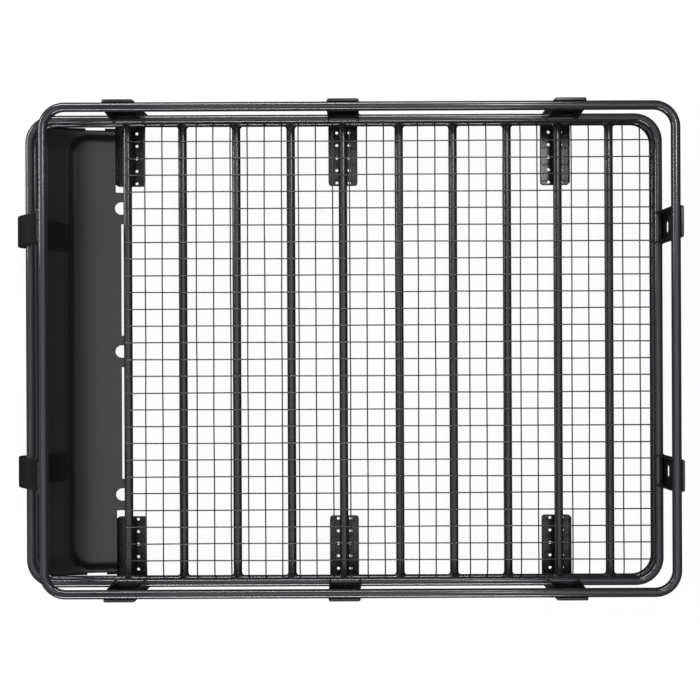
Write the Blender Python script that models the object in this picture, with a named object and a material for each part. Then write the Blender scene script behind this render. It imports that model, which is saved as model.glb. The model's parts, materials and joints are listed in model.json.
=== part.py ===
"""Welded steel roof basket for an off-road vehicle.

Three closed tube loops are held one above the other by pressed brackets.
Round slats cross the lowest loop, a welded wire mesh lies on the slats, and
a sheet deflector fills the bay between the front tube and the first bar.
Six perforated channels under the slats bolt the basket to the roof.

Frame: +X points to the rear of the vehicle, +Y to one side, +Z up.  The
origin is at the middle of the basket, level with the channels' undersides.
"""

import math

import bmesh
import bpy
from mathutils import Vector

# --- driving dimensions, metres -------------------------------------------

TUBE_OD = 0.026          # the three loops
TUBE_WALL = 0.002
DRAIN_R = 0.003          # drain hole under each loop's rear run
BAR_OD = 0.0254          # the front bar and the slats
BAR_WALL = 0.0016
GAP = 0.0003             # left where pieces are welded to each other
COPE_GAP = 0.0005        # the same, at a bar's saddle-cut end

SIDE_Y = 0.685           # centre line of every loop's side tubes
FLOOR_Z = 0.0395         # centre lines of the loops, above the channels
MID_Z = 0.0749
TOP_Z = 0.2075
LOWER_FRONT_X = -0.9166  # floor and mid loops
LOWER_REAR_X = 0.9405
LOWER_CORNER_R = 0.070
TOP_FRONT_X = -0.8330    # the top loop stops short of the front
TOP_REAR_X = 0.9474
TOP_CORNER_R = 0.062

FRONT_BAR_X = -0.637
SLAT_X = (-0.472, -0.311, -0.1475, 0.0085, 0.1765, 0.338, 0.500, 0.652, 0.8055)

WIRE = 0.004             # mesh wire
WIRE_PITCH_Y = 0.050     # between the lengthwise wires
WIRE_COUNT_Y = 26
WIRE_PITCH_X = 0.0508    # between the crosswise wires
WIRE_COUNT_X = 30
WIRE_FIRST_X = -0.5807
WIRE_LAP = 0.004         # how far the lengthwise wires pass the front bar's middle

SHEET = 0.002            # deflector
PANEL_FRONT_X = LOWER_FRONT_X + TUBE_OD / 2 - 0.001   # tucked against the front tube
PANEL_FRONT_Z = 0.0475
PANEL_REAR_Z = 0.0275
PANEL_REAR_X = -0.660
PANEL_TAB_X = -0.643     # the tabs run in under the front bar
PANEL_NOTCH_R = 0.0185
PANEL_NOTCH_Y = (-0.431, 0.0, 0.431)
PANEL_TAB = 0.029        # width of the tabs beside each notch
PANEL_POCKET_X = -0.676  # rear corners cut away round the front channels
PANEL_POCKET_Y = 0.479
PANEL_SLIT_X = (-0.764, -0.707)
PANEL_SLIT = 0.0060      # how far the side slits reach in

PLATE = 0.004            # brackets
BRACKET_W = 0.091
BRACKET_TOP_Z = 0.218
BRACKET_CHAMFER = 0.008
SIDE_BRACKET_X = (-0.620, 0.012, 0.651)
SIDE_WEB = ((0.7045, BRACKET_TOP_Z), (0.7100, 0.057), (0.7100, 0.020))
SIDE_CHEEK = ((0.6705, 0.0860), (0.6790, 0.1930))
END_BRACKET_Y = 0.357
REAR_WEB = ((0.9665, BRACKET_TOP_Z), (0.9585, 0.075), (0.9585, 0.020))
REAR_CHEEK = ((0.9270, 0.0860), (0.9380, 0.1925))
SLOT = (0.036, 0.017)    # length and height of the tie-down slot
SLOT_Z = 0.108
SLOT_V = LOWER_REAR_X + 0.018   # the web's face at the slot's height
# The front brackets' outer face, forward distance and height, top to bottom.
NOSE_WEB = (
    (0.8505, 0.206), (0.8505, 0.196), (0.8560, 0.175), (0.8720, 0.149),
    (0.8995, 0.123), (0.9290, 0.098), (0.9520, 0.073), (0.9640, 0.046),
    (0.9600, 0.027), (0.9440, 0.0185), (0.9200, 0.0185),
)
NOSE_CHEEK = 0.016       # depth of their flanges
NOSE_CHEEK_Z = (MID_Z + 0.024, TOP_Z - 0.020)   # where the flanges stand free of the rails
NOSE_LIP = 0.0015        # the sheet's rise where it turns in under the floor rail
CUT_BEHIND = 0.012       # a web cutter starts this far inside the outer face
CUT_DEPTH = 0.020

CHANNEL_X = (FRONT_BAR_X, SLAT_X[3], SLAT_X[7])
CHANNEL_W = 0.088
CHANNEL_SHEET = 0.003
CHANNEL_H = 0.015
CHANNEL_Y = (0.501, 0.690)
CHANNEL_CORNER = 0.009
HOLE_R = 0.0045
HOLE_PITCH = 0.038
HOLE_COUNT = 5
HOLE_FIRST_Y = 0.510
HOLE_OFFSET_X = 0.0187
RIB = 0.005
RIB_Y = (0.515, 0.665)

TUBE_SIDES = 16
INNER_SIDES = 8
CORNER_STEPS = 6
BAR_SIDES = 12
ARC_SIDES = 20
HOLE_SIDES = 10

TUBE_R = TUBE_OD / 2
BAR_R = BAR_OD / 2
SADDLE_R = TUBE_R + GAP


# --- scene, materials and small helpers -------------------------------------

def clear_scene():
    for item in list(bpy.data.objects):
        bpy.data.objects.remove(item, do_unlink=True)


def coat(name, colour, roughness):
    """Black powder coat over steel, as a Principled material."""
    material = bpy.data.materials.new(name)
    material.use_nodes = True
    shader = material.node_tree.nodes["Principled BSDF"]
    shader.inputs["Base Color"].default_value = (*colour, 1.0)
    shader.inputs["Roughness"].default_value = roughness
    shader.inputs["Metallic"].default_value = 0.0
    return material


def place(name, bm, material):
    """Turn a bmesh into a named object with smooth round faces."""
    bmesh.ops.recalc_face_normals(bm, faces=bm.faces)
    return place_mesh(name, finish_mesh(name, bm), material)


def finish_mesh(name, bm):
    mesh = bpy.data.meshes.new(name)
    bm.to_mesh(mesh)
    bm.free()
    mesh.shade_smooth()
    mesh.set_sharp_from_angle(angle=math.radians(35))
    return mesh


def place_mesh(name, mesh, material):
    item = bpy.data.objects.new(name, mesh)
    bpy.context.scene.collection.objects.link(item)
    if material and not mesh.materials:
        mesh.materials.append(material)
    return item


def cut(item, cutter_bm):
    """Take a closed cutter away from an object with a Boolean modifier."""
    bmesh.ops.recalc_face_normals(cutter_bm, faces=cutter_bm.faces)
    cutter = place_mesh(item.name + "_cutter", finish_mesh(item.name + "_cutter", cutter_bm), None)
    cutter.hide_render = True
    cutter.display_type = "WIRE"
    cutter.parent = item
    boolean = item.modifiers.new("cut", "BOOLEAN")
    boolean.operation = "DIFFERENCE"
    boolean.solver = "EXACT"
    boolean.object = cutter


def extrude_outline(bm, points, shift):
    """Add a closed prism: an outline of 3-D points, swept by a vector."""
    base = [bm.verts.new(point) for point in points]
    face = bm.faces.new(base)
    raised = bmesh.ops.extrude_face_region(bm, geom=[face], use_keep_orig=True)
    moved = [part for part in raised["geom"] if isinstance(part, bmesh.types.BMVert)]
    bmesh.ops.translate(bm, verts=moved, vec=shift)


def arc(cx, cy, radius, start_deg, end_deg, steps):
    """Points on an arc, both ends included."""
    turn = (end_deg - start_deg) / steps
    angles = [math.radians(start_deg + turn * i) for i in range(steps + 1)]
    return [(cx + radius * math.cos(a), cy + radius * math.sin(a)) for a in angles]


# --- tube loops ---------------------------------------------------------------

def loop_path(front_x, rear_x, corner_r):
    """Stations of a rounded rectangle: position and outward direction in XY."""
    corners = (
        (rear_x - corner_r, SIDE_Y - corner_r, 0),
        (front_x + corner_r, SIDE_Y - corner_r, 90),
        (front_x + corner_r, -SIDE_Y + corner_r, 180),
        (rear_x - corner_r, -SIDE_Y + corner_r, 270),
    )
    stations = []
    for cx, cy, start in corners:
        for step in range(CORNER_STEPS + 1):
            angle = math.radians(start + 90 * step / CORNER_STEPS)
            out = Vector((math.cos(angle), math.sin(angle), 0))
            stations.append((Vector((cx, cy, 0)) + out * corner_r, out))
    return stations


def sweep_ring(bm, stations, z, radius, sides, inwards):
    """Skin a circle of the given radius round the closed path."""
    rings = []
    for centre, out in stations:
        ring = []
        for side in range(sides):
            angle = 2 * math.pi * side / sides
            point = centre + out * (radius * math.cos(angle))
            ring.append(bm.verts.new((point.x, point.y, z + radius * math.sin(angle))))
        rings.append(ring)
    for index, ring in enumerate(rings):
        following = rings[(index + 1) % len(rings)]
        for side in range(sides):
            after = (side + 1) % sides
            face = [ring[side], following[side], following[after], ring[after]]
            bm.faces.new(face[::-1] if inwards else face)


def tube_loop(name, front_x, rear_x, corner_r, z, material):
    """A hollow loop, with one drain hole under its rear run."""
    stations = loop_path(front_x, rear_x, corner_r)
    bm = bmesh.new()
    sweep_ring(bm, stations, z, TUBE_R, TUBE_SIDES, False)
    sweep_ring(bm, stations, z, TUBE_R - TUBE_WALL, INNER_SIDES, True)
    item = place_mesh(name, finish_mesh(name, bm), material)
    drain = bmesh.new()
    outline = [
        (rear_x + x, y, z - TUBE_R - TUBE_WALL)
        for x, y in arc(0, 0, DRAIN_R, 0, 315, 7)
    ]
    extrude_outline(drain, outline, (0, 0, TUBE_R))
    cut(item, drain)


# --- cross bars -----------------------------------------------------------------

def coped_end(radius, angle, side):
    """Where a bar's wall meets the floor loop's side tube, at one angle."""
    height = radius * math.sin(angle)
    reach = TUBE_R + COPE_GAP
    return side * (SIDE_Y - math.sqrt(reach ** 2 - height ** 2))


def cross_bar(name, x, material):
    """A round tube across the floor loop, its ends cut to fit the side tubes."""
    bm = bmesh.new()
    rings = []
    for radius in (BAR_R, BAR_R - BAR_WALL):
        for side in (-1, 1):
            ring = []
            for step in range(BAR_SIDES):
                angle = 2 * math.pi * step / BAR_SIDES
                ring.append(bm.verts.new((
                    x + radius * math.cos(angle),
                    coped_end(radius, angle, side),
                    FLOOR_Z + radius * math.sin(angle),
                )))
            rings.append(ring)
    outer_low, outer_high, inner_low, inner_high = rings
    joined = ((outer_low, outer_high), (outer_high, inner_high),
              (inner_high, inner_low), (inner_low, outer_low))
    for first, second in joined:
        for step in range(BAR_SIDES):
            after = (step + 1) % BAR_SIDES
            bm.faces.new((first[step], second[step], second[after], first[after]))
    place(name, bm, material)


# --- mesh floor --------------------------------------------------------------------

def comb_outline(lines, start, end, spine):
    """A comb in two coordinates: prongs along the second, joined by a spine.

    `lines` are the prongs' centres, `start` is their free end and `end` is
    the outer edge of the spine, whose width is `spine`.
    """
    half = WIRE / 2
    inner = end - math.copysign(spine, end - start)
    points = []
    for line in lines:
        points += [(line - half, inner), (line - half, start),
                   (line + half, start), (line + half, inner)]
    return [(lines[0] - half, end), *points[1:-1], (lines[-1] + half, end)]


def mesh_floor(material):
    """Two layers of wires.  Each layer is one piece: an edge wire, hidden
    between the floor and mid loops, ties its wires together."""
    low_z = FLOOR_Z + TUBE_R + GAP
    lengthwise = [WIRE_PITCH_Y * (i - (WIRE_COUNT_Y - 1) / 2) for i in range(WIRE_COUNT_Y)]
    outline = comb_outline(lengthwise, FRONT_BAR_X - WIRE_LAP, LOWER_REAR_X + WIRE / 2, WIRE)
    bm = bmesh.new()
    extrude_outline(bm, [(x, y, low_z) for y, x in outline], (0, 0, WIRE))
    place("mesh_lengthwise_wires", bm, material)

    high_z = low_z + WIRE + GAP
    crosswise = [WIRE_FIRST_X + WIRE_PITCH_X * i for i in range(WIRE_COUNT_X)]
    outline = comb_outline(crosswise, -SIDE_Y, SIDE_Y + WIRE / 2, WIRE)
    bm = bmesh.new()
    extrude_outline(bm, [(x, y, high_z) for x, y in outline], (0, 0, WIRE))
    place("mesh_crosswise_wires", bm, material)


# --- deflector ----------------------------------------------------------------------

def panel_rear_edge():
    """The rear edge from -Y to +Y: tabs to the bar, with round notches."""
    points = [(PANEL_POCKET_X, -PANEL_POCKET_Y)]
    for centre in PANEL_NOTCH_Y:
        low, high = centre - PANEL_NOTCH_R, centre + PANEL_NOTCH_R
        first = max(low - PANEL_TAB, -PANEL_POCKET_Y)
        last = min(high + PANEL_TAB, PANEL_POCKET_Y)
        if first > -PANEL_POCKET_Y:
            points.append((PANEL_REAR_X, first))
        points += [(PANEL_TAB_X, first), (PANEL_TAB_X, low)]
        points += arc(PANEL_REAR_X, centre, PANEL_NOTCH_R, 270, 90, 8)
        points += [(PANEL_TAB_X, high), (PANEL_TAB_X, last)]
        if last < PANEL_POCKET_Y:
            points.append((PANEL_REAR_X, last))
    points.append((PANEL_POCKET_X, PANEL_POCKET_Y))
    return points


def wind_deflector(material):
    """A sheet between the floor loop's front tube and the front bar."""
    side_y = SIDE_Y - TUBE_R - 2 * GAP
    corner_r = LOWER_CORNER_R - TUBE_R - 2 * GAP
    slit_front, slit_rear = PANEL_SLIT_X
    side = [(PANEL_POCKET_X, side_y), (slit_rear, side_y), (slit_rear, side_y - PANEL_SLIT),
            (slit_front, side_y - PANEL_SLIT), (slit_front, side_y)]
    corner = arc(PANEL_FRONT_X + corner_r, side_y - corner_r, corner_r, 90, 180, CORNER_STEPS)
    half = side + corner
    outline = panel_rear_edge() + half + [(x, -y) for x, y in reversed(half)]
    fall = (PANEL_FRONT_Z - PANEL_REAR_Z) / (PANEL_REAR_X - PANEL_FRONT_X)
    points = [(x, y, PANEL_FRONT_Z - fall * (x - PANEL_FRONT_X)) for x, y in outline]
    bm = bmesh.new()
    extrude_outline(bm, points, (0, 0, -SHEET))
    place("wind_deflector", bm, material)


# --- brackets between the loops --------------------------------------------------------
# A bracket is a channel with its web outside and its two flanges pointing
# inwards.  Its side view is drawn as (v, z): v outwards, z up.  The width runs
# along the rail, and the finished bracket is turned into place.

def bracket(name, side_view, hollow, turn, shift, material, slot_v=None):
    """Sweep the side view over the width, then clear what is not sheet.

    The side view starts at the top of the web's outer face.
    """
    half = BRACKET_W / 2
    bm = bmesh.new()
    extrude_outline(bm, [(-half, v, z) for v, z in side_view], (2 * half, 0, 0))
    item = place(name, bm, material)

    inner = half - PLATE
    inside = bmesh.new()
    extrude_outline(inside, [(-inner, v, z) for v, z in hollow], (2 * inner, 0, 0))
    cut(item, inside)
    for side in (-1, 1):
        cut(item, corner_cutter(side, *side_view[0]))
    if slot_v is not None:
        cut(item, slot_cutter(slot_v))
    item.rotation_euler.z = math.radians(turn)
    item.location = shift


def corner_cutter(side, web_v, top_z):
    """A slanting cut across one of the web's top corners."""
    half = BRACKET_W / 2
    spare = 0.002
    outline = [
        (side * (half + spare), top_z - BRACKET_CHAMFER - spare),
        (side * (half + spare), top_z + spare),
        (side * (half - BRACKET_CHAMFER - spare), top_z + spare),
    ]
    bm = bmesh.new()
    extrude_outline(bm, [(u, web_v - CUT_BEHIND, z) for u, z in outline], (0, CUT_DEPTH, 0))
    return bm


def slot_cutter(web_v):
    """The oblong tie-down slot through the web."""
    length, height = SLOT
    radius = height / 2
    reach = length / 2 - radius
    outline = arc(reach, SLOT_Z, radius, -90, 90, 6) + arc(-reach, SLOT_Z, radius, 90, 270, 6)
    bm = bmesh.new()
    extrude_outline(bm, [(u, web_v - CUT_DEPTH / 2, z) for u, z in outline], (0, CUT_DEPTH, 0))
    return bm


def flat_bracket(name, web, cheek, top_rail, mid_rail, turn, shift, material, slot_v=None):
    """A bracket with a flat web, for the sides and the rear.

    `web` is its outer face and `cheek` the free edge of its flanges.  The
    flanges are cut round the rails, whose (v, z) centres are given, and a lip
    along the web's top closes the corner against the top rail.
    """
    low_z = web[-1][1]
    outer_v = mid_rail[0] + SADDLE_R
    over_mid = arc(*mid_rail, SADDLE_R, 0, 130, 8)
    round_top = arc(*top_rail, SADDLE_R, 250, 380, 9)
    side_view = [*web, (outer_v, low_z), *over_mid, *cheek, *round_top,
                 (round_top[-1][0], BRACKET_TOP_Z)]
    inner_face = [(v - PLATE, min(z, BRACKET_TOP_Z - PLATE)) for v, z in web]
    low, high = low_z - PLATE, BRACKET_TOP_Z - PLATE
    behind = cheek[0][0] - PLATE
    hollow = [*inner_face, (inner_face[-1][0], low), (behind, low), (behind, high)]
    bracket(name, side_view, hollow, turn, shift, material, slot_v)


def smooth_line(points, steps):
    """A smooth curve through the points, with its two end spans kept straight."""
    line = [Vector(point) for point in points]
    curve = [line[0]]
    for i in range(1, len(line) - 2):
        before, start, end, after = line[i - 1:i + 3]
        for step in range(steps):
            t = step / steps
            curve.append(0.5 * (
                2 * start + (end - before) * t
                + (2 * before - 5 * start + 4 * end - after) * t ** 2
                + (3 * start - before - 3 * end + after) * t ** 3
            ))
    return curve + line[-2:]


def offset_line(line, distance):
    """The same curve moved sideways, to the inner side of the bracket."""
    moved = []
    for i, point in enumerate(line):
        along = line[min(i + 1, len(line) - 1)] - line[max(i - 1, 0)]
        along.normalize()
        moved.append(point + Vector((along.y, -along.x)) * distance)
    return moved


def nose_bracket(name, side, material):
    """A curved bracket that bulges ahead of the two lower loops."""
    web = smooth_line(NOSE_WEB, 2)
    top_rail = (-TOP_FRONT_X, TOP_Z)
    mid_rail = (-LOWER_FRONT_X, MID_Z)
    floor_rail = (-LOWER_FRONT_X, FLOOR_Z)
    under_floor = arc(*floor_rail, SADDLE_R, -70, 0, 4)
    over_mid = arc(*mid_rail, SADDLE_R, 0, 90, 6)
    low, high = NOSE_CHEEK_Z
    cheek = [p for p in offset_line(web, NOSE_CHEEK) if low < p.y < high]
    under_top = arc(*top_rail, SADDLE_R, 290, 353, 5)
    side_view = [*web, (web[-1].x, web[-1].y + PLATE + NOSE_LIP), *under_floor, *over_mid,
                 *reversed(cheek), *under_top]
    inner_face = offset_line(web, PLATE)
    behind = -TOP_FRONT_X - PLATE
    hollow = [(inner_face[0].x, TOP_Z), *inner_face, (behind, inner_face[-1].y), (behind, TOP_Z)]
    shift = (0, side * END_BRACKET_Y, 0)
    bracket(name, side_view, hollow, 90, shift, material)


# --- mounting channels -------------------------------------------------------------------

def tray_plan(half, inner_y, outer_y, corner):
    """A tray seen from above: square outer end, rounded inner corners."""
    low, high = -half + corner, half - corner
    return [(-half, outer_y), *arc(low, inner_y + corner, corner, 180, 270, 3),
            *arc(high, inner_y + corner, corner, 270, 360, 3), (half, outer_y)]


def mount_channel(name, x, side, material):
    """A shallow tray with a raised rim and two rows of bolt holes."""
    half = CHANNEL_W / 2
    inner_y, outer_y = CHANNEL_Y
    bm = bmesh.new()
    plan = tray_plan(half, inner_y, outer_y, CHANNEL_CORNER)
    extrude_outline(bm, [(u, v, 0) for u, v in plan], (0, 0, CHANNEL_H))
    item = place(name, bm, material)
    pocket = bmesh.new()
    plan = tray_plan(half - CHANNEL_SHEET, inner_y + CHANNEL_SHEET, outer_y + CHANNEL_SHEET,
                     CHANNEL_CORNER - CHANNEL_SHEET)
    extrude_outline(pocket, [(u, v, CHANNEL_SHEET) for u, v in plan], (0, 0, CHANNEL_H))
    cut(item, pocket)
    drill = bmesh.new()
    for row in (-HOLE_OFFSET_X, HOLE_OFFSET_X):
        for index in range(HOLE_COUNT):
            centre_y = HOLE_FIRST_Y + HOLE_PITCH * index
            ring = arc(row, centre_y, HOLE_R, 0, 360, HOLE_SIDES)[:-1]
            extrude_outline(drill, [(u, v, -HOLE_R) for u, v in ring], (0, 0, 2 * HOLE_R))
    cut(item, drill)
    item.location.x = x
    item.rotation_euler.z = 0 if side > 0 else math.pi


def mount_rib(name, x, side, material):
    """A standing plate between the channel and the bar above it."""
    start, end = (side * y for y in RIB_Y)
    low, high = CHANNEL_SHEET + GAP, FLOOR_Z - BAR_R - GAP
    outline = [(x - RIB / 2, start, low), (x - RIB / 2, end, low),
               (x - RIB / 2, end, high), (x - RIB / 2, start, high)]
    bm = bmesh.new()
    extrude_outline(bm, outline, (RIB, 0, 0))
    place(name, bm, material)


# --- the whole basket -----------------------------------------------------------------------

def build():
    clear_scene()
    rail_coat = coat("rail_coat", (0.022, 0.022, 0.025), 0.28)
    bar_coat = coat("bar_coat", (0.020, 0.020, 0.022), 0.32)
    wire_coat = coat("wire_coat", (0.024, 0.024, 0.026), 0.38)
    panel_coat = coat("panel_coat", (0.024, 0.023, 0.026), 0.20)
    bracket_coat = coat("bracket_coat", (0.018, 0.018, 0.019), 0.34)

    tube_loop("top_rail", TOP_FRONT_X, TOP_REAR_X, TOP_CORNER_R, TOP_Z, rail_coat)
    tube_loop("mid_rail", LOWER_FRONT_X, LOWER_REAR_X, LOWER_CORNER_R, MID_Z, rail_coat)
    tube_loop("floor_rail", LOWER_FRONT_X, LOWER_REAR_X, LOWER_CORNER_R, FLOOR_Z, rail_coat)
    cross_bar("front_bar", FRONT_BAR_X, bar_coat)
    for number, x in enumerate(SLAT_X, 1):
        cross_bar(f"floor_slat_{number}", x, bar_coat)
    mesh_floor(wire_coat)
    wind_deflector(panel_coat)

    for side, hand in ((1, "left"), (-1, "right")):
        for number, x in enumerate(SIDE_BRACKET_X, 1):
            flat_bracket(f"side_upright_{hand}_{number}", SIDE_WEB, SIDE_CHEEK,
                         (SIDE_Y, TOP_Z), (SIDE_Y, MID_Z),
                         0 if side > 0 else 180, (x, 0, 0), bracket_coat)
        flat_bracket(f"rear_upright_{hand}", REAR_WEB, REAR_CHEEK,
                     (TOP_REAR_X, TOP_Z), (LOWER_REAR_X, MID_Z),
                     -90, (0, side * END_BRACKET_Y, 0), bracket_coat, SLOT_V)
        nose_bracket(f"front_upright_{hand}", side, bracket_coat)
        for number, x in enumerate(CHANNEL_X, 1):
            mount_channel(f"mount_channel_{hand}_{number}", x, side, bracket_coat)
            mount_rib(f"mount_rib_{hand}_{number}", x, side, bracket_coat)


build()
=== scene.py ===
# %% [markdown]
# # A welded steel roof basket
#
# The basket is three closed loops of round tube held one above the other by
# pressed brackets. Round slats cross the lowest loop, a welded wire mesh lies
# on them, and a smooth sheet deflector fills the front bay. All of it wears
# one coat of gloss black powder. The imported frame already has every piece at
# its true size, so each finer piece below takes its place from the frame.

# %% Load the frame
import json
import math

import bmesh
import bpy
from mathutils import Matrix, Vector


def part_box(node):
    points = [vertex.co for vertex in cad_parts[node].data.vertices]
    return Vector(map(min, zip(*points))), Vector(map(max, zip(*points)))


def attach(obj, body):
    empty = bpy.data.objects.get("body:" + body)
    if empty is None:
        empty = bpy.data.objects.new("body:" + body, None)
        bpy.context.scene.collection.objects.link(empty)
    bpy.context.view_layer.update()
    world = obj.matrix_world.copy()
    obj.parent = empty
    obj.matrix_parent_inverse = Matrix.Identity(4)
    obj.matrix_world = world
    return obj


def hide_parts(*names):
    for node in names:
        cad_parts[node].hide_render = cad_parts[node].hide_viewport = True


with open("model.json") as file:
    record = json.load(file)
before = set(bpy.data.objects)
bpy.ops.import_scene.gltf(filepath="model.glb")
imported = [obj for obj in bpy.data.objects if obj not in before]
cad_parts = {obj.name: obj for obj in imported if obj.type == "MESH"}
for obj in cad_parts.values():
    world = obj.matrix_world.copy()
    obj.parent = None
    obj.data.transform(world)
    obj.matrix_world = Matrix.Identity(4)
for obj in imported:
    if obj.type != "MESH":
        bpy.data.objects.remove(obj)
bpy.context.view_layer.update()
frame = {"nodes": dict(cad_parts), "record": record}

NODES = sorted(frame["nodes"])
print("nodes in the frame:", len(NODES))


# %% [markdown]
# ## Shared helpers
#
# Most pieces here are sweeps: a section carried along a path. Tubes, wires and
# weld beads all come from one function that skins rings of points, so they
# share the same clean quads. Sheet pieces come from an outline that is
# extruded, trimmed with a Boolean, and given a small rounded edge, because a
# real sheet never has a knife edge and the rounding is what catches the light.

# %% Mesh helpers
def flatten_broad_faces(mesh):
    """Shade many-sided faces flat: they are flat sheet, whatever edges them."""
    for face in mesh.polygons:
        face.use_smooth = len(face.vertices) <= 4


def plain_mesh(name, bm):
    """Store a bmesh as a mesh with its faces pointing out, and free it."""
    bmesh.ops.recalc_face_normals(bm, faces=bm.faces)
    mesh = bpy.data.meshes.new(name)
    bm.to_mesh(mesh)
    bm.free()
    return mesh


def shaded_mesh(name, bm, smooth_deg):
    """A mesh that is smooth up to an angle and has truly flat sheet faces."""
    mesh = plain_mesh(name, bm)
    mesh.shade_smooth()
    mesh.set_sharp_from_angle(angle=math.radians(smooth_deg))
    flatten_broad_faces(mesh)
    return mesh


def link_object(name, data):
    """A new object in the scene, for a mesh, a lamp or a camera."""
    item = bpy.data.objects.new(name, data)
    bpy.context.scene.collection.objects.link(item)
    return item


TUBE_SMOOTH = 60
WIRE_SMOOTH = 50
PRESSING_SMOOTH = 38
PANEL_SMOOTH = 35
COATED = []


def settle_piece(piece, material_slot, replaces=()):
    """Parent a piece to the basket's root, hide the frame parts it replaces, and list it in COATED for
    its finish.
    """
    COATED.append((piece, material_slot))
    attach(piece, "root")
    if replaces:
        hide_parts(*replaces)
    return piece


def finish_piece(name, bm, material_slot, smooth_deg, replaces):
    """Make a bmesh into a piece that rides on the basket."""
    piece = link_object(name, shaded_mesh(name, bm, smooth_deg))
    return settle_piece(piece, material_slot, replaces)


def stand_copy(name, mesh, place, turn_deg, replaces=()):
    """Stand a shared mesh at a place, turned about the upright axis."""
    piece = link_object(name, mesh)
    piece.location = place
    piece.rotation_euler.z = math.radians(turn_deg)
    return settle_piece(piece, "bracket_coat", replaces)


def skin_rings(bm, rings, closed=False):
    """Join rings of points with quads; an open sweep gets its ends capped."""
    rows = [[bm.verts.new(point) for point in ring] for ring in rings]
    count = len(rows[0])
    spans = len(rows) if closed else len(rows) - 1
    for i in range(spans):
        near, far = rows[i], rows[(i + 1) % len(rows)]
        for k in range(count):
            after = (k + 1) % count
            bm.faces.new((near[k], near[after], far[after], far[k]))
    if not closed:
        bm.faces.new(rows[0][::-1])
        bm.faces.new(rows[-1])


def round_section(centre, side, up, radius, sides):
    """A circle of points about a centre, in the plane of two directions."""
    turn = 2 * math.pi / sides
    return [
        centre + side * (radius * math.cos(turn * k)) + up * (radius * math.sin(turn * k))
        for k in range(sides)
    ]


def arc(cx, cy, radius, start_deg, end_deg, steps):
    """Points on an arc in two coordinates, both ends included."""
    turn = math.radians(end_deg - start_deg) / steps
    start = math.radians(start_deg)
    return [
        (cx + radius * math.cos(start + turn * i), cy + radius * math.sin(start + turn * i))
        for i in range(steps + 1)
    ]


def extrude_outline(bm, points, shift):
    """A closed prism: an outline swept by a vector."""
    base = [bm.verts.new(point) for point in points]
    shift = Vector(shift)
    top = [bm.verts.new(vert.co + shift) for vert in base]
    bm.faces.new(base[::-1])
    bm.faces.new(top)
    for i in range(len(base)):
        after = (i + 1) % len(base)
        bm.faces.new((base[i], base[after], top[after], top[i]))


def trimmed(bm, cutters):
    """The bmesh after each closed cutter bmesh has been taken away from it."""
    blank = link_object("blank", plain_mesh("blank", bm))
    helpers = [link_object("cutter", plain_mesh("cutter", cutter)) for cutter in cutters]
    for helper in helpers:
        boolean = blank.modifiers.new("trim", "BOOLEAN")
        boolean.operation = "DIFFERENCE"
        boolean.solver = "EXACT"
        boolean.object = helper
    depsgraph = bpy.context.evaluated_depsgraph_get()
    result = bmesh.new()
    result.from_mesh(blank.evaluated_get(depsgraph).to_mesh())
    for item in [blank, *helpers]:
        bpy.data.objects.remove(item, do_unlink=True)
    return result


SAME_POINT = 0.00002
FLAT_DEG = 0.5
SHARP_DEG = 50
SHEET_EASE = 0.0006
PRESSING_EASE = 0.0005


def ease_edges(bm, width):
    """Merge what the cuts left, then round every sharp edge by a small bevel."""
    bmesh.ops.remove_doubles(bm, verts=bm.verts, dist=SAME_POINT)
    bmesh.ops.dissolve_limit(bm, angle_limit=math.radians(FLAT_DEG), verts=bm.verts, edges=bm.edges)
    limit = math.radians(SHARP_DEG)
    sharp = [e for e in bm.edges if len(e.link_faces) == 2 and e.calc_face_angle(0) > limit]
    bmesh.ops.bevel(bm, geom=sharp, offset=width, segments=2, profile=0.5,
                    affect="EDGES", clamp_overlap=True)


print("helpers ready")


# %% [markdown]
# ## The three rail loops
#
# Each loop is one tube bent at four corners. The frame gives each loop's box,
# and the tube's thickness is the box's height, so the box and a bend radius
# give the centre line. A sweep with many steps in each bend keeps the outline
# round and lets long highlights run smoothly through the corners.

# %% Rail loops
RAIL_SIDES = 40
BEND_STEPS = 20
BEND_RADIUS = {"top_rail": 0.062, "mid_rail": 0.070, "floor_rail": 0.070}


def rail_stations(node):
    """The loop's centre line as points with their outward directions."""
    low, high = (Vector(corner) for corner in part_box(node))
    tube_r = (high.z - low.z) / 2
    bend = BEND_RADIUS[node]
    inset = tube_r + bend
    mid_z = (low.z + high.z) / 2
    corners = (
        (high.x - inset, high.y - inset, 0), (low.x + inset, high.y - inset, 90),
        (low.x + inset, low.y + inset, 180), (high.x - inset, low.y + inset, 270),
    )
    stations = []
    for cx, cy, start in corners:
        for step in range(BEND_STEPS + 1):
            angle = math.radians(start + 90 * step / BEND_STEPS)
            out = Vector((math.cos(angle), math.sin(angle), 0))
            stations.append((Vector((cx, cy, mid_z)) + out * bend, out))
    return stations, tube_r


def rail_loop(node):
    stations, tube_r = rail_stations(node)
    up = Vector((0, 0, 1))
    bm = bmesh.new()
    rings = [round_section(centre, out, up, tube_r, RAIL_SIDES) for centre, out in stations]
    skin_rings(bm, rings, closed=True)
    finish_piece(f"{node}_tube", bm, "rail_coat", TUBE_SMOOTH, [node])
    print(node, "tube", round(tube_r * 2000, 1), "mm, bend", BEND_RADIUS[node])


for rail_node in BEND_RADIUS:
    rail_loop(rail_node)

MID = [Vector(c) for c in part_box("mid_rail")]
FLOOR = [Vector(c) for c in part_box("floor_rail")]
TOP = [Vector(c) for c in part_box("top_rail")]
RAIL_R = (FLOOR[1].z - FLOOR[0].z) / 2
SIDE_Y = FLOOR[1].y - RAIL_R
FLOOR_Z = FLOOR[0].z + RAIL_R
MID_Z = MID[0].z + RAIL_R
TOP_Z = TOP[0].z + RAIL_R


# %% [markdown]
# ## The front bar and the slats
#
# A slat is a straight tube whose ends are saddle cut to sit against the floor
# rail, then welded all round. The weld draws a small concave fillet in the
# corner at each side of the slat. Each ring of the sweep below is placed so
# that its last steps climb out along that fillet and on to the rail.

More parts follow.
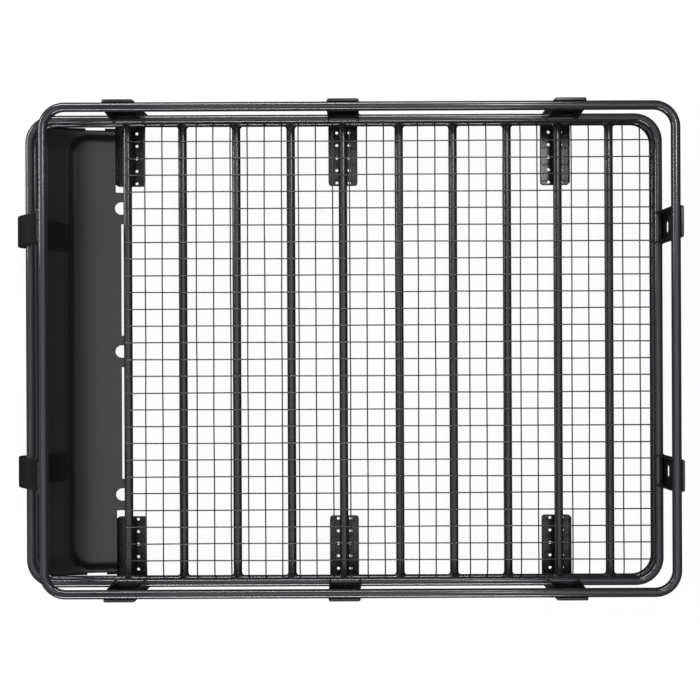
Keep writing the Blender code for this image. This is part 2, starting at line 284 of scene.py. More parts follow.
# %% Cross bars
BAR_SIDES = 32
FILLET = 0.009
FILLET_STEPS = 6
FILLET_SINK = 0.0008
FILLET_LEAST = 0.0018
EDGE_ON = 0.98


def rail_reach(height):
    """How far the floor rail's surface stands out from its centre line."""
    height = max(-EDGE_ON * RAIL_R, min(EDGE_ON * RAIL_R, height))
    return math.sqrt(RAIL_R ** 2 - height ** 2)


def bar_ring(x, bar_r, side, step):
    """One ring at a bar's end; the steps climb the fillet from bar to rail."""
    ring = []
    climb = step / FILLET_STEPS
    for k in range(BAR_SIDES):
        angle = 2 * math.pi * k / BAR_SIDES
        size = FILLET_LEAST + (FILLET - FILLET_LEAST) * math.cos(angle) ** 2
        out = size * (1 - math.cos(math.pi / 2 * climb))
        along = size * (1 - math.sin(math.pi / 2 * climb))
        radius = bar_r + out
        height = radius * math.sin(angle)
        y = SIDE_Y - rail_reach(height) - along + FILLET_SINK * climb
        ring.append((x + radius * math.cos(angle), side * y, FLOOR_Z + height))
    return ring


def cross_bar(node):
    low, high = (Vector(corner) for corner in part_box(node))
    x = (low.x + high.x) / 2
    bar_r = (high.x - low.x) / 2
    rings = [bar_ring(x, bar_r, -1, step) for step in range(FILLET_STEPS, -1, -1)]
    rings += [bar_ring(x, bar_r, 1, step) for step in range(FILLET_STEPS + 1)]
    bm = bmesh.new()
    skin_rings(bm, rings)
    return finish_piece(f"{node}_tube", bm, "bar_coat", TUBE_SMOOTH, [node])


BAR_NODES = ["front_bar"] + [f"floor_slat_{n}" for n in range(1, 10)]
bars = [cross_bar(node) for node in BAR_NODES]
print("cross bars:", len(bars))


# %% [markdown]
# ## The welded wire mesh
#
# Straight wires are laid in two layers and resistance welded where they
# cross, which sinks one a little way into the other. No wire is perfectly
# straight, so each one wanders by a fraction of a millimetre on a slow wave.
# The crosswise wires turn down at their ends to meet the floor rail.

# %% Wires
WIRE_R = 0.0020
WIRE_SIDES = 12
WANDER = 0.0007
LENGTHWISE = 26
CROSSWISE = 30
LAYER_SINK = 0.0002
RAIL_SINK = 0.0004
END_GAP = 0.001
TURN_DOWN = 0.94
STEPS_DOWN = (0.958, 0.972, 0.985, 1)

low_layer = [Vector(c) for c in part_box("mesh_lengthwise_wires")]
high_layer = [Vector(c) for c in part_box("mesh_crosswise_wires")]
LOW_WIRE_Z = (low_layer[0].z + low_layer[1].z) / 2
HIGH_WIRE_Z = LOW_WIRE_Z + 2 * WIRE_R - LAYER_SINK


def wander(line, place):
    """A slow sideways wave, different for every wire."""
    first = math.sin(place * 5.1 + line * 2.7)
    second = math.sin(place * 11.3 + line * 4.9)
    return WANDER * (0.65 * first + 0.35 * second)


def wire_tube(bm, points):
    """A thin round rod along a gently bent line of points."""
    rings = []
    for i, point in enumerate(points):
        along = points[min(i + 1, len(points) - 1)] - points[max(i - 1, 0)]
        along.normalize()
        up = Vector((0, 0, 1)) - along * along.z
        up.normalize()
        side = along.cross(up)
        rings.append(round_section(point, side, up, WIRE_R, WIRE_SIDES))
    skin_rings(bm, rings)


def lengthwise_wires():
    start_x, end_x = low_layer[0].x, low_layer[1].x
    first_y = low_layer[0].y + WIRE_R
    pitch = (low_layer[1].y - low_layer[0].y - 2 * WIRE_R) / (LENGTHWISE - 1)
    stations = 25
    bm = bmesh.new()
    for line in range(LENGTHWISE):
        y = first_y + pitch * line
        points = []
        for k in range(stations):
            x = start_x + (end_x - start_x) * k / (stations - 1)
            points.append(Vector((x, y + wander(line, x), LOW_WIRE_Z)))
        wire_tube(bm, points)
    finish_piece("lengthwise_wires", bm, "wire_coat", WIRE_SMOOTH, ["mesh_lengthwise_wires"])


def crosswise_wires():
    first_x = high_layer[0].x + WIRE_R
    last_x = high_layer[1].x - WIRE_R
    pitch = (last_x - first_x) / (CROSSWISE - 1)
    end_y = SIDE_Y - END_GAP
    drop = HIGH_WIRE_Z - (FLOOR_Z + RAIL_R + WIRE_R - RAIL_SINK)
    bm = bmesh.new()
    for line in range(CROSSWISE):
        x = first_x + pitch * line
        points = []
        places = [-place for place in reversed(STEPS_DOWN)]
        places += [TURN_DOWN * (k / 10 - 1) for k in range(21)]
        places += STEPS_DOWN
        for place in places:
            fall = max(0.0, (abs(place) - TURN_DOWN) / (1 - TURN_DOWN))
            z = HIGH_WIRE_Z - drop * (3 * fall ** 2 - 2 * fall ** 3)
            points.append(Vector((x + wander(line + 40, place), end_y * place, z)))
        wire_tube(bm, points)
    finish_piece("crosswise_wires", bm, "wire_coat", WIRE_SMOOTH, ["mesh_crosswise_wires"])


lengthwise_wires()
crosswise_wires()
print("wires:", LENGTHWISE + CROSSWISE)


# %% [markdown]
# ## The deflector
#
# The front bay holds a smooth sheet that falls a little towards the first
# bar. Its rear edge has three half-round notches with a welded tab at each
# side, its rear corners are cut away round the channels, and a short slit is
# left at each side. The sheet is drawn as one outline and given its fall and
# its thickness afterwards, the way it is cut and then set in place.

# %% Deflector
PANEL_REAR_X = -0.660
PANEL_NOTCH_R = 0.0185
PANEL_NOTCH_Y = (-0.431, 0.0, 0.431)
PANEL_TAB = 0.029
PANEL_POCKET = (-0.676, 0.479)
PANEL_SLIT_X = (-0.764, -0.707)
PANEL_SLIT = 0.006
PANEL_SHEET = 0.002
PANEL_GAP = 0.0006

panel_low, panel_high = (Vector(corner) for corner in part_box("wind_deflector"))


def panel_rear_edge():
    """The rear edge from one side to the other, with tabs and notches."""
    pocket_x, pocket_y = PANEL_POCKET
    tab_x = panel_high.x
    points = [(pocket_x, -pocket_y)]
    for centre in PANEL_NOTCH_Y:
        low, high = centre - PANEL_NOTCH_R, centre + PANEL_NOTCH_R
        first, last = max(low - PANEL_TAB, -pocket_y), min(high + PANEL_TAB, pocket_y)
        if first > -pocket_y:
            points.append((PANEL_REAR_X, first))
        points += [(tab_x, first), (tab_x, low)]
        points += arc(PANEL_REAR_X, centre, PANEL_NOTCH_R, 270, 90, 28)
        points += [(tab_x, high), (tab_x, last)]
        if last < pocket_y:
            points.append((PANEL_REAR_X, last))
    points.append((pocket_x, pocket_y))
    return points


def deflector_sheet():
    front_x, side_y = panel_low.x, panel_high.y
    corner_r = BEND_RADIUS["floor_rail"] - RAIL_R - PANEL_GAP
    slit_front, slit_rear = PANEL_SLIT_X
    slit_y = side_y - PANEL_SLIT
    side = [(PANEL_POCKET[0], side_y), (slit_rear, side_y), (slit_rear, slit_y),
            (slit_front, slit_y), (slit_front, side_y)]
    corner = arc(front_x + corner_r, side_y - corner_r, corner_r, 90, 180, 18)
    half = side + corner
    outline = panel_rear_edge() + half + [(x, -y) for x, y in reversed(half)]
    rear_drop = panel_high.z - (panel_low.z + PANEL_SHEET)
    fall = rear_drop / (panel_high.x - front_x)
    points = [(x, y, panel_high.z - fall * (x - front_x)) for x, y in outline]
    bm = bmesh.new()
    extrude_outline(bm, points, (0, 0, -PANEL_SHEET))
    bmesh.ops.recalc_face_normals(bm, faces=bm.faces)
    ease_edges(bm, SHEET_EASE)
    return finish_piece("deflector_sheet", bm, "panel_coat", PANEL_SMOOTH, ["wind_deflector"])


deflector = deflector_sheet()
print("deflector faces:", len(deflector.data.polygons))


# %% [markdown]
# ## The brackets
#
# Every bracket is a channel folded from sheet, its web outside and its two
# flanges cut round the rails. It is drawn here as seen from the side, swept
# over its width, hollowed behind the web, and then eased along its edges. The
# two folds get a larger radius than the cut edges, as a press brake leaves.

# %% Bracket outlines
PLATE = 0.004
BRACKET_TOP_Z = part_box("side_upright_left_1")[1][2]
BRACKET_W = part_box("side_upright_left_1")[1][0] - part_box("side_upright_left_1")[0][0]
SADDLE_GAP = 0.0003
SADDLE_R = RAIL_R + SADDLE_GAP
FOLD_R = 0.0055
CHAMFER = 0.008
SIDE_WEB = ((0.7045, BRACKET_TOP_Z), (0.7100, 0.057), (0.7100, 0.020))
SIDE_CHEEK = ((0.6705, 0.0860), (0.6790, 0.1930))
REAR_WEB = ((0.9665, BRACKET_TOP_Z), (0.9585, 0.075), (0.9585, 0.020))
REAR_CHEEK = ((0.9270, 0.0860), (0.9380, 0.1925))
NOSE_WEB = (
    (0.8505, 0.206), (0.8505, 0.196), (0.8560, 0.175), (0.8720, 0.149),
    (0.8995, 0.123), (0.9290, 0.098), (0.9520, 0.073), (0.9640, 0.046),
    (0.9600, 0.027), (0.9440, 0.0185), (0.9200, 0.0185),
)
NOSE_CHEEK = 0.016
NOSE_CHEEK_ENDS = (0.024, 0.020)
NOSE_LIP = 0.0015
REAR_SLOT = (REAR_WEB[1][0], 0.108, 0.036, 0.017)


def smooth_line(points, steps):
    """A smooth curve through the points; its two end spans stay straight."""
    line = [Vector(point) for point in points]
    curve = [line[0]]
    for i in range(1, len(line) - 2):
        before, start, end, after = line[i - 1:i + 3]
        for step in range(steps):
            t = step / steps
            curve.append(0.5 * (
                2 * start + (end - before) * t
                + (2 * before - 5 * start + 4 * end - after) * t ** 2
                + (3 * start - before - 3 * end + after) * t ** 3
            ))
    return curve + line[-2:]


def offset_line(line, distance):
    """The same curve, moved towards the bracket's inner side."""
    moved = []
    for i, point in enumerate(line):
        along = line[min(i + 1, len(line) - 1)] - line[max(i - 1, 0)]
        along.normalize()
        moved.append(point + Vector((along.y, -along.x)) * distance)
    return moved


def flat_view(web, cheek, top_rail, mid_rail):
    """Side view of a bracket with a flat web, and of the space behind it."""
    low_z = web[-1][1]
    round_top = arc(*top_rail, SADDLE_R, 250, 380, 18)
    view = [*web, (mid_rail[0] + SADDLE_R, low_z), *arc(*mid_rail, SADDLE_R, 0, 130, 20), *cheek,
            *round_top, (round_top[-1][0], BRACKET_TOP_Z)]
    inner = [(v - PLATE, min(z, BRACKET_TOP_Z - PLATE)) for v, z in web]
    low, high = low_z - PLATE, BRACKET_TOP_Z - PLATE
    behind = cheek[0][0] - PLATE
    hollow = [*inner, (inner[-1][0], low), (behind, low), (behind, high)]
    return view, hollow


def nose_view():
    """Side view of the front bracket, and of the space behind it."""
    web = smooth_line(NOSE_WEB, 4)
    top_rail = (-(TOP[0].x + RAIL_R), TOP_Z)
    mid_rail = (-(MID[0].x + RAIL_R), MID_Z)
    floor_rail = (mid_rail[0], FLOOR_Z)
    lowest, highest = MID_Z + NOSE_CHEEK_ENDS[0], TOP_Z - NOSE_CHEEK_ENDS[1]
    cheek = [point for point in offset_line(web, NOSE_CHEEK) if lowest < point.y < highest]
    view = [*web, (web[-1].x, web[-1].y + PLATE + NOSE_LIP), *arc(*floor_rail, SADDLE_R, -70, 0, 12),
            *arc(*mid_rail, SADDLE_R, 0, 90, 14), *reversed(cheek),
            *arc(*top_rail, SADDLE_R, 290, 353, 12)]
    inner = offset_line(web, PLATE)
    behind = top_rail[0] - PLATE
    hollow = [(inner[0].x, TOP_Z), *inner, (behind, inner[-1].y), (behind, TOP_Z)]
    return view, hollow


print("bracket width", round(BRACKET_W * 1000, 1), "mm")


# %% [markdown]
# The folds are rounded before the channel is hollowed: the outer prism gets
# its fold radius first, and then a square-edged block is cut out behind the
# web, which leaves the wall. The rounding starts at the web's first point, so
# the outline has to begin there.

# %% Folding a bracket
CORNER_CUT = (0.012, 0.020)
SLOT_CUT = (0.010, 0.020)
CUT_SPARE = 0.003


def swept_prism(view, half):
    """Sweep a side view over a width."""
    bm = bmesh.new()
    extrude_outline(bm, [(-half, v, z) for v, z in view], (2 * half, 0, 0))
    bmesh.ops.recalc_face_normals(bm, faces=bm.faces)
    return bm


def round_folds(bm, count, fold_edges):
    """Round the folds of a prism whose outline has a count of points.

    Its first edges follow the web, once on each side.
    """
    bm.verts.ensure_lookup_table()
    folds = []
    for base in (0, count):
        for i in range(fold_edges):
            folds.append(bm.edges.get((bm.verts[base + i], bm.verts[base + i + 1])))
    bmesh.ops.bevel(bm, geom=folds, offset=FOLD_R, segments=4, profile=0.5,
                    affect="EDGES", clamp_overlap=True)


def corner_cutter(side, web_v, top_z):
    """A wedge that takes a rounded corner off the top of the web."""
    half = BRACKET_W / 2
    curve = arc(half - CHAMFER, top_z - CHAMFER, CHAMFER, 0, 90, 8)
    outline = [(half + CUT_SPARE, top_z - CHAMFER), *curve, (half - CHAMFER, top_z + CUT_SPARE),
               (half + CUT_SPARE, top_z + CUT_SPARE)]
    behind, depth = CORNER_CUT
    bm = bmesh.new()
    extrude_outline(bm, [(side * u, web_v - behind, z) for u, z in outline], (0, depth, 0))
    return bm


def slot_cutter(web_v, centre_z, length, height):
    """The oblong slot through a rear bracket's web."""
    radius = height / 2
    reach = length / 2 - radius
    outline = arc(reach, centre_z, radius, -90, 90, 14)
    outline += arc(-reach, centre_z, radius, 90, 270, 14)
    behind, depth = SLOT_CUT
    bm = bmesh.new()
    extrude_outline(bm, [(u, web_v - behind, z) for u, z in outline], (0, depth, 0))
    return bm


def bracket_mesh(name, view, hollow, web_edges, slot=None):
    """The folded and trimmed bracket, standing at the origin, web towards +Y."""
    half = BRACKET_W / 2
    body = swept_prism(view, half)
    round_folds(body, len(view), web_edges)
    cutters = [swept_prism(hollow, half - PLATE), corner_cutter(1, *view[0]), corner_cutter(-1, *view[0])]
    if slot:
        cutters.append(slot_cutter(*slot))
    bm = trimmed(body, cutters)
    ease_edges(bm, PRESSING_EASE)
    mesh = shaded_mesh(name, bm, PRESSING_SMOOTH)
    print(name, "faces", len(mesh.polygons))
    return mesh


def middle(node):
    low, high = (Vector(corner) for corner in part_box(node))
    return (low + high) / 2


def bracket_places():
    """Each bracket's node, kind, place and turn, side by side and end by end."""
    for side, hand in ((1, "left"), (-1, "right")):
        for number in (1, 2, 3):
            node = f"side_upright_{hand}_{number}"
            yield node, "side", (middle(node).x, 0, 0), 90 - 90 * side
        for kind, turn_deg in (("rear", -90), ("front", 90)):
            node = f"{kind}_upright_{hand}"
            yield node, kind, (0, middle(node).y, 0), turn_deg


# %% Side, rear and front brackets
rear_x = (TOP[1].x - RAIL_R, MID[1].x - RAIL_R)
side_view = flat_view(SIDE_WEB, SIDE_CHEEK, (SIDE_Y, TOP_Z), (SIDE_Y, MID_Z))
rear_view = flat_view(REAR_WEB, REAR_CHEEK, (rear_x[0], TOP_Z), (rear_x[1], MID_Z))
pressings = {
    "side": bracket_mesh("side_pressing", *side_view, 2),
    "rear": bracket_mesh("rear_pressing", *rear_view, 2, REAR_SLOT),
    "front": bracket_mesh("front_pressing", *nose_view(), 4 * (len(NOSE_WEB) - 3) + 2),
}
brackets = []
for node, kind, place, turn_deg in bracket_places():
    brackets.append(stand_copy(f"{node}_pressing", pressings[kind], place, turn_deg, [node]))
print("brackets:", len(brackets))


# %% [markdown]
# ## The mounting channels
#
# Six shallow trays hang under the slats, each with two rows of bolt holes so
# that the basket can be shifted on its roof bars. A tray is a pressed plate
# with a raised rim. The outer block is drawn with rounded corners, a pocket
# is cut into it, and the holes are drilled last.

# %% Mounting channels
TRAY_CORNER = 0.009
TRAY_SHEET = 0.003
HOLE_R = 0.0045
HOLE_PITCH = 0.038
HOLE_ROWS = 5
HOLE_FIRST = 0.009
HOLE_OFFSET = 0.0187


def tray_outline(half, inner_y, outer_y, corner):
    """Plan of a tray: square at its outer end, rounded at its inner end."""
    points = [(-half, outer_y)]
    points += arc(-half + corner, inner_y + corner, corner, 180, 270, 8)
    points += arc(half - corner, inner_y + corner, corner, 270, 360, 8)
    return points + [(half, outer_y)]


def tray_mesh():
    low, high = (Vector(corner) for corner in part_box("mount_channel_left_1"))
    half = (high.x - low.x) / 2
    inner_y, outer_y, rim_z = low.y, high.y, high.z
    body = bmesh.new()
    outline = tray_outline(half, inner_y, outer_y, TRAY_CORNER)
    extrude_outline(body, [(x, y, low.z) for x, y in outline], (0, 0, rim_z - low.z))
    pocket = bmesh.new()
    outline = tray_outline(half - TRAY_SHEET, inner_y + TRAY_SHEET, outer_y + TRAY_SHEET,
                           TRAY_CORNER - TRAY_SHEET)
    extrude_outline(pocket, [(x, y, low.z + TRAY_SHEET) for x, y in outline], (0, 0, rim_z))
    cutters = [pocket]
    for row in (-HOLE_OFFSET, HOLE_OFFSET):
        drill = bmesh.new()
        for index in range(HOLE_ROWS):
            ring = arc(row, inner_y + HOLE_FIRST + HOLE_PITCH * index, HOLE_R, 0, 345, 23)
            extrude_outline(drill, [(x, y, low.z - HOLE_R) for x, y in ring], (0, 0, 2 * HOLE_R))
        cutters.append(drill)
    bm = trimmed(body, cutters)
    ease_edges(bm, SHEET_EASE)
    return shaded_mesh("tray", bm, PRESSING_SMOOTH)


tray = tray_mesh()
for side, hand in ((1, "left"), (-1, "right")):
    for number in (1, 2, 3):
        node = f"mount_channel_{hand}_{number}"
        stand_copy(f"{node}_tray", tray, (middle(node).x, 0, 0), 90 - 90 * side, [node])
print("tray faces:", len(tray.polygons))


# %% [markdown]
# ## Weld beads
#
# A hand weld is a row of overlapping puddles, so a bead here is a sweep whose
# thickness ripples along its length and dies away at both ends. Beads go where
# each bracket's flanges meet the two upper rails.

# %% Beads where the brackets meet the rails
BEAD_R = 0.0022
RIPPLE = 0.0032
RIPPLE_DEPTH = 0.14
THINNEST = 0.25
BEAD_SIDES = 10
BEAD_LIFT = 0.0006


def weld_bead(bm, points):
    """A rippled bead along a line of points."""
    lengths = [0.0]
    for i in range(1, len(points)):
        lengths.append(lengths[-1] + (points[i] - points[i - 1]).length)
    total = lengths[-1]
    steps = max(8, int(total / RIPPLE * 4))
    rings = []
    for step in range(steps + 1):
        along = total * step / steps
        i = max(k for k in range(len(points) - 1) if lengths[k] <= along + 1e-9)
        span = lengths[i + 1] - lengths[i]
        point = points[i].lerp(points[i + 1], (along - lengths[i]) / span)
        direction = (points[i + 1] - points[i]).normalized()
        side = direction.orthogonal().normalized()
        up = direction.cross(side)
        ends = max(0.0, min(1.0, along / BEAD_R, (total - along) / BEAD_R))
        swell = 1 - RIPPLE_DEPTH + RIPPLE_DEPTH * abs(math.sin(math.pi * along / RIPPLE))
        thick = BEAD_R * max(THINNEST, math.sqrt(ends)) * swell
        rings.append(round_section(point, side, up, thick, BEAD_SIDES))
    skin_rings(bm, rings)


def bracket_beads(name, mid_rail, top_rail, mid_arc, top_arc):
    """Beads on the outer side of both flanges, round the two upper rails."""
    bm = bmesh.new()
    half = BRACKET_W / 2
    for side in (-1, 1):
        for rail, span in ((mid_rail, mid_arc), (top_rail, top_arc)):
            line = arc(*rail, RAIL_R + BEAD_LIFT, *span, 14)
            weld_bead(bm, [Vector((side * half, v, z)) for v, z in line])
    mesh = plain_mesh(name, bm)
    mesh.shade_smooth()
    return mesh


FLAT_ARCS = ((5, 128), (252, 350))
NOSE_ARCS = ((5, 88), (292, 350))
nose_rails = ((-(MID[0].x + RAIL_R), MID_Z), (-(TOP[0].x + RAIL_R), TOP_Z))
beads = {
    "side": bracket_beads("side_beads", (SIDE_Y, MID_Z), (SIDE_Y, TOP_Z), *FLAT_ARCS),
    "rear": bracket_beads("rear_beads", (rear_x[1], MID_Z), (rear_x[0], TOP_Z), *FLAT_ARCS),
    "front": bracket_beads("nose_beads", *nose_rails, *NOSE_ARCS),
}
for node, kind, place, turn_deg in bracket_places():
    stand_copy(f"{node}_welds", beads[kind], place, turn_deg)
print("bead faces on a side bracket:", len(beads["side"].polygons))


# %% [markdown]
# ## Powder coat
#
# Powder coat cures into a gloss film with a faint orange-peel ripple. Two
# effects are shared by every finish, so each is a node group: the ripple gives
# a height for a Bump node, and the tone group drifts the colour and roughness
# slightly, as film thickness does. Each material gives the groups its own
# values, and what never varies is set on its own Principled shader.

# %% Shared node groups
def new_group(name, inputs, outputs):
    group = bpy.data.node_groups.new(name, "ShaderNodeTree")
    for label, kind, value in inputs:
        socket = group.interface.new_socket(label, in_out="INPUT", socket_type=kind)
        socket.default_value = value
    for label, kind in outputs:
        group.interface.new_socket(label, in_out="OUTPUT", socket_type=kind)
    start = group.nodes.new("NodeGroupInput")
    end = group.nodes.new("NodeGroupOutput")
    return group, start, end


def orange_peel_group():
    """Fine ripple over a slower unevenness, as one height."""
    group, start, end = new_group(
        "orange peel",
        [("Peel Scale", "NodeSocketFloat", 420.0), ("Wave Scale", "NodeSocketFloat", 14.0),
         ("Wave Share", "NodeSocketFloat", 0.5)],
        [("Height", "NodeSocketFloat")],
    )
    place = group.nodes.new("ShaderNodeTexCoord")
    peel = group.nodes.new("ShaderNodeTexNoise")
    peel.inputs["Detail"].default_value = 2.0
    wave = group.nodes.new("ShaderNodeTexNoise")
    wave.inputs["Detail"].default_value = 1.0
    blend = group.nodes.new("ShaderNodeMix")
    link = group.links.new
    link(place.outputs["Object"], peel.inputs["Vector"])
    link(place.outputs["Object"], wave.inputs["Vector"])
    link(start.outputs["Peel Scale"], peel.inputs["Scale"])
    link(start.outputs["Wave Scale"], wave.inputs["Scale"])
    link(start.outputs["Wave Share"], blend.inputs["Factor"])
    link(peel.outputs["Fac"], blend.inputs["A"])
    link(wave.outputs["Fac"], blend.inputs["B"])
    link(blend.outputs["Result"], end.inputs["Height"])
    return group


def coat_tone_group():
    """Colour and roughness that drift slowly over the coat."""
    group, start, end = new_group(
        "coat tone",
        [("Deep", "NodeSocketColor", (0.015, 0.015, 0.016, 1)),
         ("Light", "NodeSocketColor", (0.025, 0.025, 0.027, 1)),
         ("Smooth", "NodeSocketFloat", 0.2), ("Rough", "NodeSocketFloat", 0.3)],
        [("Color", "NodeSocketColor"), ("Roughness", "NodeSocketFloat")],
    )
    place = group.nodes.new("ShaderNodeTexCoord")
    drift = group.nodes.new("ShaderNodeTexNoise")
    drift.inputs["Scale"].default_value = 9.0
    drift.inputs["Detail"].default_value = 3.0
    specks = group.nodes.new("ShaderNodeTexNoise")
    specks.inputs["Scale"].default_value = 260.0
    specks.inputs["Detail"].default_value = 2.0
    tint = group.nodes.new("ShaderNodeMix")
    tint.data_type = "RGBA"
    gloss = group.nodes.new("ShaderNodeMapRange")
    gloss.inputs["From Min"].default_value = 0.3
    gloss.inputs["From Max"].default_value = 0.7
    link = group.links.new
    link(place.outputs["Object"], drift.inputs["Vector"])
    link(place.outputs["Object"], specks.inputs["Vector"])
    link(drift.outputs["Fac"], tint.inputs["Factor"])
    link(start.outputs["Deep"], tint.inputs["A"])
    link(start.outputs["Light"], tint.inputs["B"])
    link(specks.outputs["Fac"], gloss.inputs["Value"])
    link(start.outputs["Smooth"], gloss.inputs["To Min"])
    link(start.outputs["Rough"], gloss.inputs["To Max"])
    link(tint.outputs["Result"], end.inputs["Color"])
    link(gloss.outputs["Result"], end.inputs["Roughness"])
    return group


ORANGE_PEEL = orange_peel_group()
COAT_TONE = coat_tone_group()
print("node groups:", ORANGE_PEEL.name, "and", COAT_TONE.name)


# %% [markdown]
# The five finishes differ only a little. The sheet is the deepest and the
# smoothest, so it mirrors what stands round it. The bars and brackets are a
# shade deeper than the rails, and the wires take a rougher, less even film.

# %% The five finishes
def powder_coat(name, deep, light, smooth, rough, peel, bump):
    material = bpy.data.materials.new(name)
    material.use_nodes = True
    nodes, link = material.node_tree.nodes, material.node_tree.links.new
    shader = nodes["Principled BSDF"]
    shader.inputs["IOR"].default_value = 1.5
    tone = nodes.new("ShaderNodeGroup")
    tone.node_tree = COAT_TONE
    tone.inputs["Deep"].default_value = (*deep, 1)
    tone.inputs["Light"].default_value = (*light, 1)
    tone.inputs["Smooth"].default_value = smooth
    tone.inputs["Rough"].default_value = rough
    ripple = nodes.new("ShaderNodeGroup")
    ripple.node_tree = ORANGE_PEEL
    ripple.inputs["Peel Scale"].default_value = peel[0]
    ripple.inputs["Wave Scale"].default_value = peel[1]
    ripple.inputs["Wave Share"].default_value = peel[2]
    relief = nodes.new("ShaderNodeBump")
    relief.inputs["Strength"].default_value = bump[0]
    relief.inputs["Distance"].default_value = bump[1]
    link(tone.outputs["Color"], shader.inputs["Base Color"])
    link(tone.outputs["Roughness"], shader.inputs["Roughness"])
    link(ripple.outputs["Height"], relief.inputs["Height"])
    link(relief.outputs["Normal"], shader.inputs["Normal"])
    return material


FINISHES = {
    "rail_coat": powder_coat("rail_coat", (0.0100, 0.0100, 0.0120), (0.0145, 0.0140, 0.0175),
                             0.15, 0.19, (380, 12, 0.35), (0.08, 0.0003)),
    "bar_coat": powder_coat("bar_coat", (0.0065, 0.0065, 0.0072), (0.0100, 0.0100, 0.0112),
                            0.19, 0.25, (380, 12, 0.35), (0.08, 0.0003)),
    "wire_coat": powder_coat("wire_coat", (0.0110, 0.0110, 0.0120), (0.0170, 0.0170, 0.0180),
                             0.26, 0.38, (520, 20, 0.40), (0.25, 0.0003)),
    "panel_coat": powder_coat("panel_coat", (0.0035, 0.0035, 0.0038), (0.0050, 0.0048, 0.0055),
                              0.080, 0.105, (260, 5, 0.60), (0.05, 0.0003)),
    "bracket_coat": powder_coat("bracket_coat", (0.0065, 0.0065, 0.0065), (0.0095, 0.0095, 0.0100),
                                0.24, 0.29, (380, 14, 0.15), (0.05, 0.0003)),
}
slot_of = {row["node"]: row["material_slot"] for row in frame["record"]["subparts"]}
for node, item in frame["nodes"].items():
    for socket in item.material_slots:
        socket.material = FINISHES[slot_of[node]]
for piece, material_slot in COATED:
    if not piece.data.materials:
        piece.data.materials.append(FINISHES[material_slot])
print("finishes:", ", ".join(FINISHES))


# %% [markdown]
# ## Studio
#
# The basket lies on a pale floor under soft light, seen from straight above.
# The background is plain white to the camera, while reflections see a darker
# room with a few long soft boxes, which is what draws the thin lines of light
# along black tube.

# %% Floor and room
FLOOR_HALF = 40
FLOOR_LEVEL = -0.002


def pale_floor():
    bm = bmesh.new()
    turns = ((-1, -1), (1, -1), (1, 1), (-1, 1))
    bm.faces.new([bm.verts.new((FLOOR_HALF * x, FLOOR_HALF * y, FLOOR_LEVEL)) for x, y in turns])
    mesh = bpy.data.meshes.new("studio_floor")
    bm.to_mesh(mesh)
    bm.free()
    floor = link_object("studio_floor", mesh)
    material = bpy.data.materials.new("pale_floor")
    material.use_nodes = True
    shader = material.node_tree.nodes["Principled BSDF"]
    shader.inputs["Base Color"].default_value = (0.04, 0.04, 0.04, 1)
    shader.inputs["Specular IOR Level"].default_value = 0.0
    shader.inputs["Roughness"].default_value = 0.9
    shader.inputs["Emission Color"].default_value = (1, 1, 1, 1)
    shader.inputs["Emission Strength"].default_value = 0.94
    mesh.materials.append(material)
    floor.visible_glossy = False
    floor.visible_diffuse = False
    floor.visible_shadow = False


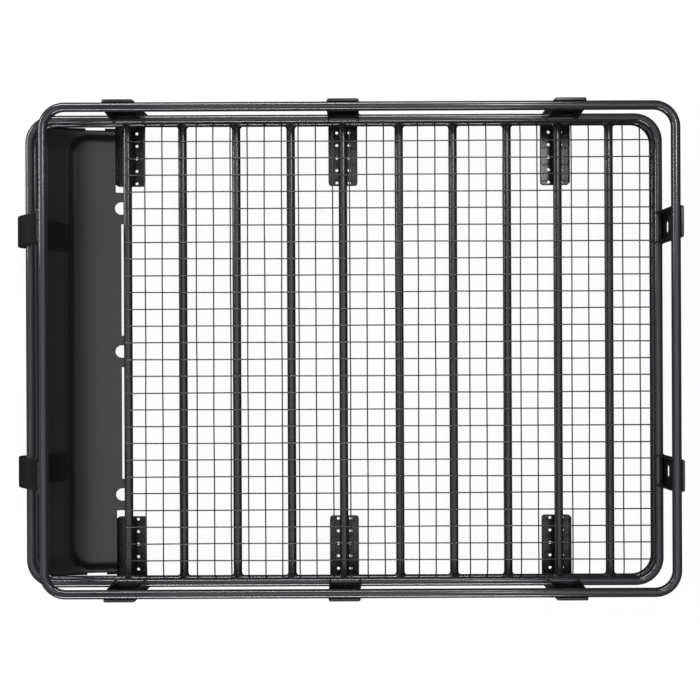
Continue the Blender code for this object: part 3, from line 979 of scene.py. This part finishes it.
def room_light():
    world = bpy.data.worlds.new("studio_room")
    bpy.context.scene.world = world
    world.use_nodes = True
    nodes, link = world.node_tree.nodes, world.node_tree.links.new
    nodes.clear()
    output = nodes.new("ShaderNodeOutputWorld")
    rays = nodes.new("ShaderNodeLightPath")
    seen = nodes.new("ShaderNodeBackground")
    seen.inputs["Color"].default_value = (1, 1, 1, 1)
    lit = nodes.new("ShaderNodeBackground")
    choose = nodes.new("ShaderNodeMixShader")
    place = nodes.new("ShaderNodeTexCoord")
    split = nodes.new("ShaderNodeSeparateXYZ")
    ramp = nodes.new("ShaderNodeValToRGB")
    elements = ramp.color_ramp.elements
    elements[0].position, elements[0].color = 0.0, (0.010, 0.010, 0.010, 1)
    elements[1].position, elements[1].color = 1.0, (0.16, 0.16, 0.17, 1)
    for position, value in ((0.45, 0.015), (0.53, 0.20), (0.75, 0.30), (0.92, 0.18)):
        element = elements.new(position)
        element.color = (value, value, value * 1.04, 1)
    height = nodes.new("ShaderNodeMapRange")
    height.inputs["From Min"].default_value = -1.0
    link(place.outputs["Generated"], split.inputs["Vector"])
    link(split.outputs["Z"], height.inputs["Value"])
    link(height.outputs["Result"], ramp.inputs["Fac"])
    link(ramp.outputs["Color"], lit.inputs["Color"])
    link(rays.outputs["Is Camera Ray"], choose.inputs["Fac"])
    link(lit.outputs["Background"], choose.inputs[1])
    link(seen.outputs["Background"], choose.inputs[2])
    link(choose.outputs["Shader"], output.inputs["Surface"])


def soft_box(name, place, target, width, height, glow):
    """A soft box that faces a point; its glow is how bright its face looks."""
    data = bpy.data.lights.new(name, "AREA")
    data.shape = "RECTANGLE"
    data.size = width
    data.size_y = height
    data.energy = glow * math.pi * width * height
    lamp = link_object(name, data)
    lamp.location = place
    aim = Vector(target) - Vector(place)
    lamp.rotation_euler = aim.to_track_quat("-Z", "Y").to_euler()
    lamp.visible_camera = False


pale_floor()
room_light()
soft_box("overhead", (0.70, 0, 3.2), (0.70, 0, 0), 3.8, 3.4, 1.25)
for side in (1, -1):
    soft_box("side_strip", (-0.45, side * 2.3, 1.15), (-0.45, side * 0.6, 0.2), 2.9, 0.30, 32)
soft_box("front_strip", (-2.55, 1.15, 1.15), (-0.85, 0.5, 0.2), 1.3, 0.30, 26)
soft_box("front_high", (-2.30, 0, 3.2), (-0.92, 0, 0.1), 3.0, 0.75, 2.6)
soft_box("front_low", (-2.60, 0, 0.42), (-0.95, 0, 0.05), 2.6, 0.36, 1.2)
soft_box("high_lamp", (0.95, 1.20, 3.15), (0.44, 0.53, 0.1), 0.30, 0.50, 40)
print("lights:", len(bpy.data.lights))


# %% Camera
CAMERA_HEIGHT = 2.5
camera_data = bpy.data.cameras.new("overhead")
camera_data.lens = 45.74
camera_data.sensor_width = 36.0
camera_data.shift_x = -0.0144
camera_data.shift_y = 0.0134
camera = link_object("overhead", camera_data)
camera.location = (0.058, -0.0268, TOP_Z + CAMERA_HEIGHT)
camera.rotation_euler = (0, 0, math.radians(-0.24))
bpy.context.scene.camera = camera
bpy.context.scene.view_settings.view_transform = "Standard"
print("camera height", CAMERA_HEIGHT, "m above the top rail")


# %% Box corners as plain numbers
def corners(box):
    return [[float(value) for value in corner] for corner in box]
